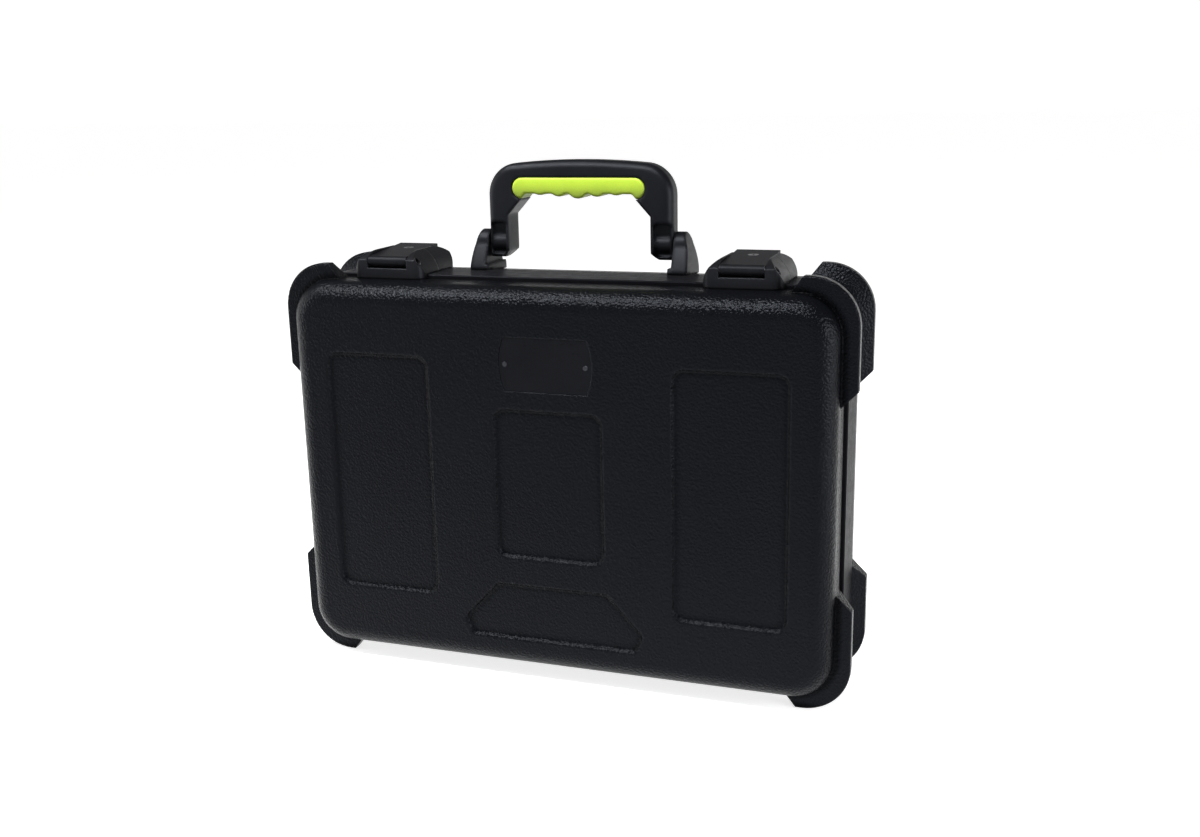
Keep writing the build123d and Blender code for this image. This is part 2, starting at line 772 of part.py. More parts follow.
# ---------------------------------------------------------------- handle brackets
with BuildPart() as handle_bracket_right:
    horn_outer = bracket_horn_inner + bracket_horn_top
    flank_out, flank_down = bracket_flank
    with BuildSketch(front_plane(bracket_back)):
        with BuildLine():
            Polyline(
                (bracket_outer, bracket_foot_top),
                (bracket_outer, shell_top),
                (bracket_inner, shell_top),
                (bracket_inner, bracket_ledge),
                (bracket_horn_inner, bracket_ledge),
                (bracket_horn_inner, bracket_top),
                (horn_outer, bracket_top),
            )
            ThreePointArc(
                (horn_outer, bracket_top),
                ((bracket_outer + horn_outer) / 2 + bracket_side_bow, (bracket_top + bracket_foot_top) / 2),
                (bracket_outer, bracket_foot_top),
            )
        make_face()
    extrude(amount=bracket_back - bracket_front)
    with BuildSketch(side_plane(0)):
        with BuildLine():
            Polyline(
                (bracket_front, bracket_foot_top),
                (bracket_front, shell_top),
                (bracket_back, shell_top),
                (bracket_back, bracket_foot_top),
            )
            ThreePointArc(
                (bracket_back, bracket_foot_top),
                (handle_y + flank_out, handle_pivot_z - flank_down),
                (handle_y + bracket_top_radius, handle_pivot_z),
            )
            ThreePointArc(
                (handle_y + bracket_top_radius, handle_pivot_z),
                (handle_y, bracket_top),
                (handle_y - bracket_top_radius, handle_pivot_z),
            )
            ThreePointArc(
                (handle_y - bracket_top_radius, handle_pivot_z),
                (handle_y - flank_out, handle_pivot_z - flank_down),
                (bracket_front, bracket_foot_top),
            )
        make_face()
    extrude(amount=half_length, mode=Mode.INTERSECT)
    with BuildSketch(side_plane(0)):
        with Locations((0, shell_top)):
            Rectangle(2 * (band_depth + seat_gap), 2 * band_proud)
    extrude(amount=half_length, both=True, mode=Mode.SUBTRACT)
    with BuildSketch(Plane.XY.offset(middle_z)):
        with Locations(*bracket_rivet_spots()):
            Circle(rivet_radius + seat_gap)
    extrude(amount=bracket_rivet_top - middle_z, mode=Mode.SUBTRACT)
    with BuildSketch(side_plane(bracket_horn_inner, handle_y, handle_pivot_z)):
        Circle(handle_pin_radius + seat_gap)
    extrude(amount=handle_pin_outer - bracket_horn_inner + seat_gap, mode=Mode.SUBTRACT)

with BuildPart() as handle_bracket_left:
    mirror(handle_bracket_right.part, about=Plane.YZ)


# ---------------------------------------------------------------- hinges
knuckle_pitch = hinge_length / knuckle_count


def knuckle_middles(first):
    """Middles of every second knuckle, counted from the given one."""
    return [(n + 0.5) * knuckle_pitch - hinge_length / 2 for n in range(first, knuckle_count, 2)]


def hinge_leaf(centre, side, first):
    """One leaf under an edge band, with its own knuckles: side is -1 for the lid, 1 for the base."""
    knuckle_half = (knuckle_pitch - knuckle_play) / 2
    leaf_middle = side * (leaf_depth + leaf_setback) / 2
    with BuildPart() as leaf:
        with BuildSketch(Plane.XY.offset(band_bottom - leaf_thickness)):
            with Locations((centre, leaf_middle)):
                Rectangle(hinge_length, leaf_depth - leaf_setback)
            for middle in knuckle_middles(first):
                with Locations((centre + middle, side * leaf_setback / 2)):
                    Rectangle(2 * knuckle_half, leaf_setback + seat_gap)
            with Locations(*hinge_rivet_spots(side)):
                Circle(rivet_radius + seat_gap, mode=Mode.SUBTRACT)
        extrude(amount=leaf_thickness)
        for middle in knuckle_middles(first):
            with BuildSketch(side_plane(centre + middle, 0, hinge_axis_z)):
                Circle(hinge_radius)
            extrude(amount=knuckle_half, both=True)
        with BuildSketch(side_plane(centre, 0, hinge_axis_z)):
            Circle(hinge_pin_radius + seat_gap)
        extrude(amount=hinge_length, both=True, mode=Mode.SUBTRACT)
    return leaf


hinge_left_lid_leaf = hinge_leaf(-hinge_offset, -1, 0)
hinge_right_lid_leaf = hinge_leaf(hinge_offset, -1, 0)
hinge_left_base_leaf = hinge_leaf(-hinge_offset, 1, 1)
hinge_right_base_leaf = hinge_leaf(hinge_offset, 1, 1)

with BuildPart() as hinge_pins:
    for centre in (-hinge_offset, hinge_offset):
        with BuildSketch(side_plane(centre, 0, hinge_axis_z)):
            Circle(hinge_pin_radius)
        extrude(amount=hinge_length / 2, both=True)


# ---------------------------------------------------------------- rivets
def top_rivets(spots, shank_top):
    """Rivets through the top wall, with their heads inside the case."""
    with BuildPart() as rivets:
        with BuildSketch(Plane.XY.offset(cavity_top - rivet_head_height)):
            with Locations(*spots):
                Circle(rivet_head_radius)
        extrude(amount=rivet_head_height - seat_gap)
        with BuildSketch(Plane.XY.offset(cavity_top - rivet_head_height)):
            with Locations(*spots):
                Circle(rivet_radius)
        extrude(amount=shank_top - cavity_top + rivet_head_height)
    return rivets


def hinge_rivets(side):
    """Rivets up through a hinge leaf, the edge band and the lip."""
    leaf_bottom = band_bottom - leaf_thickness
    with BuildPart() as rivets:
        with BuildSketch(Plane.XY.offset(leaf_bottom - rivet_head_height)):
            with Locations(*hinge_rivet_spots(side)):
                Circle(rivet_head_radius)
        extrude(amount=rivet_head_height - seat_gap)
        with BuildSketch(Plane.XY.offset(leaf_bottom - rivet_head_height)):
            with Locations(*hinge_rivet_spots(side)):
                Circle(rivet_radius)
        extrude(amount=cavity_bottom - leaf_bottom + rivet_head_height)
    return rivets


lid_latch_rivets = top_rivets(latch_rivet_spots(-1), band_top + rivet_grip - seat_gap)
base_latch_rivets = top_rivets(latch_rivet_spots(1), band_top + rivet_grip - seat_gap)
handle_bracket_rivets = top_rivets(bracket_rivet_spots(), bracket_rivet_top - seat_gap)
lid_hinge_rivets = hinge_rivets(-1)
base_hinge_rivets = hinge_rivets(1)


# ---------------------------------------------------------------- foam
def foam_outline():
    """The foam's outline: it fills the hollow, but for some room under the rivet heads."""
    low = cavity_bottom + soft_gap - middle_z
    high = cavity_top - foam_head_room - middle_z
    with Locations((0, (low + high) / 2)):
        RectangleRounded(
            2 * (shell_half_x - wall - soft_gap), high - low, shell_corner - wall - soft_gap
        )


foam_back = cavity_depth - soft_gap
insert_back = foam_back - floor_foam_thickness

with BuildPart() as lid_foam:
    with BuildSketch(front_plane(-foam_back + lid_foam_thickness, z=middle_z)):
        foam_outline()
    extrude(amount=lid_foam_thickness)
    fillet(lid_foam.faces().sort_by(Axis.Y)[0].edges(), cavity_edge_radius)

with BuildPart() as base_foam_floor:
    with BuildSketch(front_plane(foam_back, z=middle_z)):
        foam_outline()
    extrude(amount=floor_foam_thickness)
    fillet(base_foam_floor.faces().sort_by(Axis.Y)[-1].edges(), cavity_edge_radius)

with BuildPart() as base_foam_insert:
    with BuildSketch(front_plane(insert_back - seat_gap, z=middle_z)):
        foam_outline()
        with Locations((0, slot_rise)):
            with GridLocations(slot_pitch, 0, slot_count, 1):
                RectangleRounded(*slot_size, slot_corner, mode=Mode.SUBTRACT)
        with Locations((0, -tray_drop)):
            RectangleRounded(*tray_size, slot_corner, mode=Mode.SUBTRACT)
    extrude(amount=insert_back - seat_gap - foam_setback)

# ---------------------------------------------------------------- export
pieces = {
    "lid_shell": lid_shell,
    "base_shell": base_shell,
    "lid_valance": lid_valance,
    "base_valance": base_valance,
    "name_plate": name_plate,
    "name_plate_rivets": name_plate_rivets,
    "latch_left_housing": latch_left_housing,
    "latch_right_housing": latch_right_housing,
    "latch_left_lever": latch_left_lever,
    "latch_right_lever": latch_right_lever,
    "latch_left_pin": latch_left_pin,
    "latch_right_pin": latch_right_pin,
    "latch_left_key_plug": latch_left_key_plug,
    "latch_right_key_plug": latch_right_key_plug,
    "latch_left_keeper": latch_left_keeper,
    "latch_right_keeper": latch_right_keeper,
    "latch_left_catch": latch_left_catch,
    "latch_right_catch": latch_right_catch,
    "handle_bail": handle_bail,
    "handle_grip": handle_grip,
    "handle_pin_left": handle_pin_left,
    "handle_pin_right": handle_pin_right,
    "handle_bracket_left": handle_bracket_left,
    "handle_bracket_right": handle_bracket_right,
    "hinge_left_lid_leaf": hinge_left_lid_leaf,
    "hinge_right_lid_leaf": hinge_right_lid_leaf,
    "hinge_left_base_leaf": hinge_left_base_leaf,
    "hinge_right_base_leaf": hinge_right_base_leaf,
    "hinge_pins": hinge_pins,
    "lid_latch_rivets": lid_latch_rivets,
    "base_latch_rivets": base_latch_rivets,
    "handle_bracket_rivets": handle_bracket_rivets,
    "lid_hinge_rivets": lid_hinge_rivets,
    "base_hinge_rivets": base_hinge_rivets,
    "lid_foam": lid_foam,
    "base_foam_floor": base_foam_floor,
    "base_foam_insert": base_foam_insert,
}

for label, piece in pieces.items():
    piece.part.label = label
    export_step(piece.part, f"parts/{label}.step")
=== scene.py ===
"""Looks of the moulded microphone case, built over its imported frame.

Everything is in metres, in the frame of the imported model: X along the case, Y from the lid face
to the base face, Z up, with the origin under the parting plane, at the level the bumpers stand on.
"""

import json
from math import cos, pi, sin

import bmesh
import bpy
from mathutils import Matrix, Vector, noise


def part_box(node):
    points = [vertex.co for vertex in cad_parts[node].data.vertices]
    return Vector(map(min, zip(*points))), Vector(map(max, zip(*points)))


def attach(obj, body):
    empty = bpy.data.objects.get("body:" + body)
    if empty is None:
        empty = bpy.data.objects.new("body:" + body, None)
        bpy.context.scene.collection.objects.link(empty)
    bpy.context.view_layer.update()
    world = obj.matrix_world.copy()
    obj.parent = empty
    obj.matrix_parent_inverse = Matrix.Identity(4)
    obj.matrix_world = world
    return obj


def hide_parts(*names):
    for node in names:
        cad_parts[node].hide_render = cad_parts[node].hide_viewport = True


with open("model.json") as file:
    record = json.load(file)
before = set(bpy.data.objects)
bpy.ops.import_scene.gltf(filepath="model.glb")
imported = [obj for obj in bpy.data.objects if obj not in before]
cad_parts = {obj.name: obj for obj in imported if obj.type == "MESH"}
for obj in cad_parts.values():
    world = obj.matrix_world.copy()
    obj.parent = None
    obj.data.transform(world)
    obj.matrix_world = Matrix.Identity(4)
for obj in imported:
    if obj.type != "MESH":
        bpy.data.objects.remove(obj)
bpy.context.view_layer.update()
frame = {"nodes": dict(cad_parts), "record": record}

mm = 0.001
along_y, along_z = 1, 2  # numbers of the axes

# ---------------------------------------------------------------- driving values
# The photo's viewpoint.
camera_place = Vector((0.37674, -1.00813, 0.49001))
camera_yaw = 0.33692  # radians to the left of straight ahead
camera_pitch = 0.24587  # radians below the horizon
camera_roll = -0.02013  # radians, above 0 where the camera's right side is tipped up
camera_lens = 38.68  # millimetres
camera_sensor = 36.0  # millimetres

# The stage.
case_middle = (0.0, 0.0, 0.2)
floor_half = 30.0
floor_drop = 0.1 * mm  # how far the floor lies below the bumpers
floor_greys = (0.72, 0.75)
floor_glow = 0.85  # the floor lights up by itself, like a light table, but not in front of the case
glow_behind = (-0.6, 0.1)  # along Y, from no glow to full glow
glow_beyond = (2.8, 5.0)  # the same, by the distance from the case
room_low = 1.1  # brightness of the room near the horizon
room_high = 0.14  # and overhead
room_change = (0.1, 0.3)  # from the one to the other, by the sine of the height above the horizon

# Finishes.
cool_gleam = (0.82, 0.88, 1.0)  # tint of the gleam on the black pieces
noise_span = (0.3, 0.7)  # most values of a noise lie in this span
edge_span = (0.80, 0.985)  # cosine between the rounded and the true normal, on an edge and beside it
# Painted shade in creases: its reach, and the openness where it is full and where it ends.
crease_reach = 7.0 * mm
crease_span = (0.80, 0.96)  # openness in a crease and on an open surface
shading_rays = 6  # rays for each look at an edge or a crease
satin_wear = 0.6 * mm  # width of the paler edges of satin plastic
paint_wear = 0.35 * mm  # width of the bare edges of painted metal
grip_shade = 17.0 * mm  # the grip darkens over this height towards its underside

# Meshes.
same_place = 0.001 * mm  # corners closer together than this are joined
sharp_turn = 0.7  # radians; an edge that turns by more stays sharp
turning_steps = 28  # sides of a turned form
grip_voxel = 0.8 * mm
grip_rounds = 10  # rounds of relaxing
foam_voxel = 3.2 * mm
foam_rounds = 3
foam_lump = 22.0 * mm  # size of the unevenness in the foam's skin
crate_pitch = 31.0 * mm  # from one crest of the lid foam to the next
crate_depth = 11.0 * mm
crate_reach = 2 * crate_depth  # the waves bend the foam down to this depth
crate_border = 3.0 * mm  # a flat border along the edge
crate_rim = 14.0 * mm  # the waves fade in over this width inside the border

# Rivets.
dome_height = 0.75  # share of the head's height
dome_steps = 6
dimple_depth = 0.10  # share of the head's height
dimple_floor = 0.24  # share of the head's radius
dimple_rim = 0.30  # the same
plate_rivet_head = 0.5 * mm  # height of the head
plate_rivet_shank = 0.5  # the shank's radius, as a share of the head's
upright_rivet_head = 1.45 * mm
upright_rivet_shank = 0.56


# ---------------------------------------------------------------- materials
def shaded(colour, factor):
    """A colour times a factor."""
    return tuple(factor * channel for channel in colour)


class Wiring:
    """Nodes in the making, in the tree of a material or of the world."""

    def __init__(self, tree):
        self.nodes = tree.nodes
        self.links = tree.links

    def join(self, source, target):
        """Connect an output to an input."""
        self.links.new(source, target)

    def share(self, vector, axis):
        """The part of a vector output along one axis."""
        node = self.nodes.new("ShaderNodeSeparateXYZ")
        self.join(vector, node.inputs["Vector"])
        return node.outputs[axis]

    def smooth_range(self, source, span, target):
        """Map source smoothly from one span of numbers to another."""
        node = self.nodes.new("ShaderNodeMapRange")
        node.interpolation_type = "SMOOTHSTEP"
        for name, value in zip(("From Min", "From Max", "To Min", "To Max"), (*span, *target)):
            node.inputs[name].default_value = value
        self.join(source, node.inputs["Value"])
        return node.outputs["Result"]


class Paint(Wiring):
    """A node material in the making."""

    mix_first, mix_second, mix_result = 6, 7, 2  # numbers of a mix node's colour sockets

    def __init__(self, name):
        self.material = bpy.data.materials.new(name)
        self.material.use_nodes = True
        super().__init__(self.material.node_tree)
        self.shader = self.nodes["Principled BSDF"]
        self.place = self.nodes.new("ShaderNodeTexCoord").outputs["Object"]

    def set(self, **values):
        """Set plain values on the shader, by the socket's name with underscores for spaces."""
        for name, value in values.items():
            self.shader.inputs[name.replace("_", " ")].default_value = value

    def stretched(self, x, y, z):
        """The object's coordinates, scaled by a factor of its own along each axis."""
        node = self.nodes.new("ShaderNodeMapping")
        node.inputs["Scale"].default_value = (x, y, z)
        self.join(self.place, node.inputs["Vector"])
        return node.outputs["Vector"]

    def noise(self, scale, detail=3.0, roughness=0.55, place=None):
        """A grey output that varies softly, about scale times over a metre."""
        node = self.nodes.new("ShaderNodeTexNoise")
        node.inputs["Scale"].default_value = scale
        node.inputs["Detail"].default_value = detail
        node.inputs["Roughness"].default_value = roughness
        self.join(place or self.place, node.inputs["Vector"])
        return node.outputs["Fac"]

    def cells(self, scale, smooth):
        """Distance to the middle of the nearest cell: 0 in the middles, larger at the seams."""
        node = self.nodes.new("ShaderNodeTexVoronoi")
        node.feature = "SMOOTH_F1"
        node.inputs["Scale"].default_value = scale
        node.inputs["Smoothness"].default_value = smooth
        self.join(self.place, node.inputs["Vector"])
        return node.outputs["Distance"]

    def ramp(self, source, span, dark, light):
        """Map a span of source onto the range between two colours or two greys."""
        node = self.nodes.new("ShaderNodeValToRGB")
        for element, position, tone in zip(node.color_ramp.elements, span, (dark, light)):
            element.position = position
            element.color = (*tone, 1.0) if isinstance(tone, tuple) else (tone, tone, tone, 1.0)
        self.join(source, node.inputs["Fac"])
        return node.outputs["Color"]

    def mixed(self, factor, first, second):
        """Mix two colour outputs by a grey output."""
        node = self.nodes.new("ShaderNodeMix")
        node.data_type = "RGBA"
        self.join(factor, node.inputs["Factor"])
        self.join(first, node.inputs[self.mix_first])
        self.join(second, node.inputs[self.mix_second])
        return node.outputs[self.mix_result]

    def reckon(self, operation, first, second):
        """Add, multiply or otherwise join grey outputs; a plain number may stand for the second."""
        node = self.nodes.new("ShaderNodeMath")
        node.operation = operation
        self.join(first, node.inputs[0])
        if isinstance(second, float):
            node.inputs[1].default_value = second
        else:
            self.join(second, node.inputs[1])
        return node.outputs[0]

    def bump(self, height, depth, below=None):
        """Relief of the given depth in metres, on top of an earlier relief."""
        node = self.nodes.new("ShaderNodeBump")
        node.inputs["Strength"].default_value = 1.0
        node.inputs["Distance"].default_value = depth
        self.join(height, node.inputs["Height"])
        if below is not None:
            self.join(below, node.inputs["Normal"])
        return node.outputs["Normal"]

    def rounded(self, radius):
        """The surface's normal, turned as if every edge were rounded off by the given radius."""
        node = self.nodes.new("ShaderNodeBevel")
        node.samples = shading_rays
        node.inputs["Radius"].default_value = radius
        return node.outputs["Normal"]

    def edges(self, radius):
        """A grey output that is light along edges, where the rounded and the true normal differ."""
        true = self.nodes.new("ShaderNodeNewGeometry")
        product = self.nodes.new("ShaderNodeVectorMath")
        product.operation = "DOT_PRODUCT"
        self.join(self.rounded(radius), product.inputs[0])
        self.join(true.outputs["Normal"], product.inputs[1])
        return self.ramp(product.outputs["Value"], edge_span, 1.0, 0.0)

    def openness(self, reach):
        """A grey output: 1 on open surfaces, less in creases and recesses."""
        node = self.nodes.new("ShaderNodeAmbientOcclusion")
        node.samples = shading_rays
        node.inputs["Distance"].default_value = reach
        return node.outputs["AO"]

    def use(self, colour, roughness, normal):
        """Connect the three results, and return the material."""
        self.join(colour, self.shader.inputs["Base Color"])
        self.join(roughness, self.shader.inputs["Roughness"])
        self.join(normal, self.shader.inputs["Normal"])
        return self.material


def moulded_plastic(name, dark, light, rough, shine, soft_edge, grain, grain_depth):
    """Moulded plastic with a pebbled grain: paler edges, partly from rubbing and partly a painted
    highlight, and painted shade that darkens colour and gleam in creases.
    """
    paint = Paint(name)
    pebbles = paint.cells(scale=1.0 / grain, smooth=0.35)
    fine = paint.noise(scale=2.6 / grain, detail=2.0)
    cloud = paint.noise(scale=9.0, detail=4.0)
    tone = paint.ramp(cloud, (0.32, 0.68), dark, light)
    valleys = paint.ramp(pebbles, (0.25, 0.75), shaded(light, 0.75), light)
    base = paint.mixed(paint.ramp(fine, noise_span, 0.25, 0.75), tone, valleys)
    # Paler edges: partly rubbing wear, partly a painted highlight along the rounded rims.
    pale_edge = paint.ramp(cloud, (0.2, 0.8), shaded(light, 1.7), shaded(light, 2.2))
    # Painted shade in creases and recesses: the colour darkens where the surface is less open.
    openness = paint.openness(crease_reach)
    crease_unshaded = paint.ramp(openness, crease_span, 0.0, 1.0)
    rubbed = paint.mixed(paint.reckon("MULTIPLY", paint.edges(soft_edge), crease_unshaded), base, pale_edge)
    crease_shade = paint.ramp(cloud, noise_span, shaded(dark, 0.3), shaded(light, 0.3))
    colour = paint.mixed(crease_unshaded, crease_shade, rubbed)
    # Painted shade in the gleam: the reflection darkens in creases.
    gleam = paint.ramp(openness, crease_span, shaded(cool_gleam, 0.4), cool_gleam)
    paint.join(gleam, paint.shader.inputs["Specular Tint"])
    patches = paint.reckon("ADD", paint.noise(scale=38.0), paint.reckon("MULTIPLY", pebbles, 0.35))
    roughness = paint.ramp(patches, (0.35, 0.95), *rough)
    height = paint.reckon("SUBTRACT", paint.reckon("MULTIPLY", fine, 0.35), pebbles)
    normal = paint.bump(height, depth=grain_depth, below=paint.rounded(soft_edge))
    paint.set(Specular_IOR_Level=shine)
    return paint.use(colour, roughness, normal)


def satin_plastic(name, dark, light, rough, shine, soft_edge):
    """Smooth moulded plastic with a faint eggshell relief and handling marks."""
    paint = Paint(name)
    cloud = paint.noise(scale=24.0, detail=5.0)
    shell = paint.noise(scale=1900.0, detail=2.0)
    marks = paint.noise(scale=90.0, detail=6.0, roughness=0.7, place=paint.stretched(1.0, 1.0, 3.0))
    tone = paint.ramp(cloud, noise_span, dark, light)
    pale_edge = paint.ramp(marks, noise_span, shaded(light, 1.6), shaded(light, 2.4))
    colour = paint.mixed(paint.edges(satin_wear), tone, pale_edge)
    roughness = paint.ramp(marks, (0.3, 0.75), *rough)
    relief = paint.bump(shell, depth=0.03 * mm, below=paint.rounded(soft_edge))
    normal = paint.bump(marks, depth=0.02 * mm, below=relief)
    paint.set(Specular_IOR_Level=shine, Specular_Tint=(*cool_gleam, 1.0))
    return paint.use(colour, roughness, normal)


def painted_metal(name, dark, light, rough, shine):
    """Powder-coated sheet metal: fine orange peel, and bare metal glinting along the edges."""
    bare_dark = (0.10, 0.10, 0.105)
    bare_light = (0.22, 0.22, 0.225)
    paint = Paint(name)
    peel = paint.noise(scale=1300.0, detail=2.0)
    cloud = paint.noise(scale=40.0, detail=4.0)
    tone = paint.ramp(cloud, noise_span, dark, light)
    bare = paint.ramp(peel, (0.2, 0.8), bare_dark, bare_light)
    patches = paint.ramp(cloud, (0.45, 0.7), 0.0, 0.8)
    colour = paint.mixed(paint.reckon("MULTIPLY", paint.edges(paint_wear), patches), tone, bare)
    roughness = paint.ramp(peel, (0.25, 0.75), *rough)
    normal = paint.bump(peel, depth=0.05 * mm)
    paint.set(Specular_IOR_Level=shine, Specular_Tint=(*cool_gleam, 1.0))
    return paint.use(colour, roughness, normal)


def bright_metal(name, dark, light, rough, lines):
    """Brushed or turned metal; lines gives the fineness of its marks along each axis."""
    paint = Paint(name)
    brushing = paint.noise(scale=900.0, detail=3.0, place=paint.stretched(*lines))
    cloud = paint.noise(scale=60.0, detail=4.0)
    streaks = paint.reckon("ADD", cloud, paint.reckon("MULTIPLY", brushing, 0.3))
    colour = paint.ramp(streaks, (0.4, 0.9), dark, light)
    roughness = paint.ramp(brushing, noise_span, *rough)
    normal = paint.bump(brushing, depth=0.02 * mm)
    paint.set(Metallic=1.0)
    return paint.use(colour, roughness, normal)


def soft_rubber(name, dark, light, rough, shade_rise):
    """Moulded soft rubber with a fine grain, and painted shade towards its underside: full at the first
    height of the rise and gone at the second.
    """
    paint = Paint(name)
    grain = paint.noise(scale=1500.0, detail=3.0)
    cloud = paint.noise(scale=45.0, detail=4.0)
    tone = paint.ramp(cloud, noise_span, dark, light)
    grimy = paint.ramp(grain, noise_span, shaded(dark, 0.88), light)
    rubbed = paint.mixed(paint.ramp(cloud, (0.35, 0.65), 0.2, 0.6), tone, grimy)
    # Painted shade on the underside, fading out upwards between the heights of the rise.
    underside = paint.ramp(grain, noise_span, shaded(dark, 0.28), shaded(light, 0.36))
    upwards = paint.smooth_range(paint.share(paint.place, "Z"), shade_rise, (0.0, 1.0))
    colour = paint.mixed(upwards, underside, rubbed)
    roughness = paint.ramp(grain, (0.25, 0.75), *rough)
    normal = paint.bump(grain, depth=0.06 * mm)
    paint.set(Specular_IOR_Level=0.4, Subsurface_Weight=0.06, Subsurface_Scale=0.002)
    return paint.use(colour, roughness, normal)


def open_foam(name, dark, light):
    """Open-cell foam: pores of two sizes with painted shade inside, and a dull, dusty skin."""
    paint = Paint(name)
    pores = paint.cells(scale=900.0, smooth=0.15)
    coarse = paint.cells(scale=330.0, smooth=0.3)
    cloud = paint.noise(scale=18.0, detail=4.0)
    tone = paint.ramp(cloud, noise_span, dark, light)
    # Painted shade inside the pores.
    pore_shade = paint.ramp(cloud, noise_span, shaded(dark, 0.35), shaded(dark, 0.5))
    colour = paint.mixed(paint.ramp(pores, (0.15, 0.55), 1.0, 0.0), tone, pore_shade)
    roughness = paint.ramp(pores, (0.2, 0.8), 0.86, 1.0)
    normal = paint.bump(pores, depth=0.5 * mm, below=paint.bump(coarse, depth=0.5 * mm))
    paint.set(Specular_IOR_Level=0.12, Sheen_Weight=0.15, Sheen_Roughness=0.6)
    return paint.use(colour, roughness, normal)


def pale_floor(name):
    """A plain pale floor with barely visible clouds, glowing behind the case and far from it."""
    dark, light = ((grey, grey, grey) for grey in floor_greys)
    paint = Paint(name)
    cloud = paint.noise(scale=1.3, detail=3.0)
    colour = paint.ramp(cloud, noise_span, dark, light)
    roughness = paint.ramp(cloud, noise_span, 0.75, 0.85)
    normal = paint.bump(paint.noise(scale=250.0), depth=0.02 * mm)
    paint.set(Specular_IOR_Level=0.1, Emission_Color=(1.0, 1.0, 1.0, 1.0))
    distance = paint.nodes.new("ShaderNodeVectorMath")
    distance.operation = "LENGTH"
    paint.join(paint.place, distance.inputs[0])
    behind = paint.smooth_range(paint.share(paint.place, "Y"), glow_behind, (0.0, floor_glow))
    beyond = paint.smooth_range(distance.outputs["Value"], glow_beyond, (0.0, floor_glow))
    paint.join(paint.reckon("MAXIMUM", behind, beyond), paint.shader.inputs["Emission Strength"])
    return paint.use(colour, roughness, normal)


grip_low, grip_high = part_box("handle_grip")
finish = {
    "shell_plastic": moulded_plastic(
        "shell_plastic",
        dark=(0.0018, 0.0019, 0.0026),
        light=(0.0027, 0.0029, 0.0038),
        rough=(0.17, 0.25),
        shine=0.078,
        soft_edge=2.4 * mm,
        grain=2.0 * mm,
        grain_depth=0.48 * mm,
    ),
    "band_plastic": satin_plastic(
        "band_plastic",
        dark=(0.003, 0.003, 0.004),
        light=(0.005, 0.005, 0.006),
        rough=(0.30, 0.42),
        shine=0.035,
        soft_edge=0.4 * mm,
    ),
    "latch_plastic": satin_plastic(
        "latch_plastic",
        dark=(0.004, 0.004, 0.005),
        light=(0.007, 0.007, 0.008),
        rough=(0.30, 0.42),
        shine=0.16,
        soft_edge=1.6 * mm,
    ),
    "lever_metal": painted_metal(
        "lever_metal",
        dark=(0.003, 0.003, 0.004),
        light=(0.006, 0.006, 0.007),
        rough=(0.36, 0.48),
        shine=0.09,
    ),
    "lock_metal": bright_metal(
        "lock_metal",
        dark=(0.16, 0.16, 0.17),
        light=(0.30, 0.30, 0.31),
        rough=(0.3, 0.45),
        lines=(1.0, 6.0, 1.0),
    ),
    "steel": bright_metal(
        "steel",
        dark=(0.30, 0.30, 0.31),
        light=(0.50, 0.50, 0.51),
        rough=(0.22, 0.38),
        lines=(0.2, 3.0, 3.0),
    ),
    "handle_plastic": satin_plastic(
        "handle_plastic",
        dark=(0.0025, 0.0025, 0.0035),
        light=(0.005, 0.005, 0.006),
        rough=(0.34, 0.46),
        shine=0.14,
        soft_edge=5.0 * mm,
    ),
    "grip_rubber": soft_rubber(
        "grip_rubber",
        dark=(0.31, 0.45, 0.020),
        light=(0.40, 0.56, 0.032),
        rough=(0.42, 0.58),
        shade_rise=(grip_low.z, grip_low.z + grip_shade),
    ),
    "hinge_metal": painted_metal(
        "hinge_metal",
        dark=(0.006, 0.006, 0.007),
        light=(0.011, 0.011, 0.012),
        rough=(0.28, 0.42),
        shine=0.3,
    ),
    "rivet_metal": painted_metal(
        "rivet_metal",
        dark=(0.008, 0.008, 0.009),
        light=(0.016, 0.016, 0.018),
        rough=(0.2, 0.34),
        shine=0.3,
    ),
    "plate_plastic": satin_plastic(
        "plate_plastic",
        dark=(0.0026, 0.0026, 0.0034),
        light=(0.0040, 0.0040, 0.0048),
        rough=(0.26, 0.38),
        shine=0.085,
        soft_edge=0.4 * mm,
    ),
    "foam": open_foam(
        "foam",
        dark=(0.016, 0.016, 0.018),
        light=(0.026, 0.026, 0.029),
    ),
}


def dress_frame():
    """Give every node of the frame the finish of its material slot."""
    for part in frame["record"]["subparts"]:
        node = frame["nodes"][part["node"]]
        node.data.materials.clear()
        node.data.materials.append(finish[part["material_slot"]])


# ---------------------------------------------------------------- making pieces
def keep(piece, slot, body, node):
    """Finish a new piece: its material, its slot, the body it rides on and the node it stands for."""
    piece.data.materials.clear()
    piece.data.materials.append(finish[slot])
    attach(piece, body)
    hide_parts(node)


def new_object(name, data):
    """A new object in the scene, with the given mesh, light or camera."""
    thing = bpy.data.objects.new(name, data)
    bpy.context.scene.collection.objects.link(thing)
    return thing


def new_mesh(name, work):
    """A new mesh out of a bmesh, which is freed."""
    mesh = bpy.data.meshes.new(name)
    work.to_mesh(mesh)
    work.free()
    return mesh


def shade_smooth(mesh, sharp_above):
    """Smooth shading, but for edges that turn by more than the given angle in radians."""
    for face in mesh.polygons:
        face.use_smooth = True
    mesh.set_sharp_from_angle(angle=sharp_above)


def joined(node):
    """A bmesh of a node's mesh, with the corners that share a place joined."""
    work = bmesh.new()
    work.from_mesh(frame["nodes"][node].data)
    bmesh.ops.remove_doubles(work, verts=work.verts, dist=same_place)
    return work


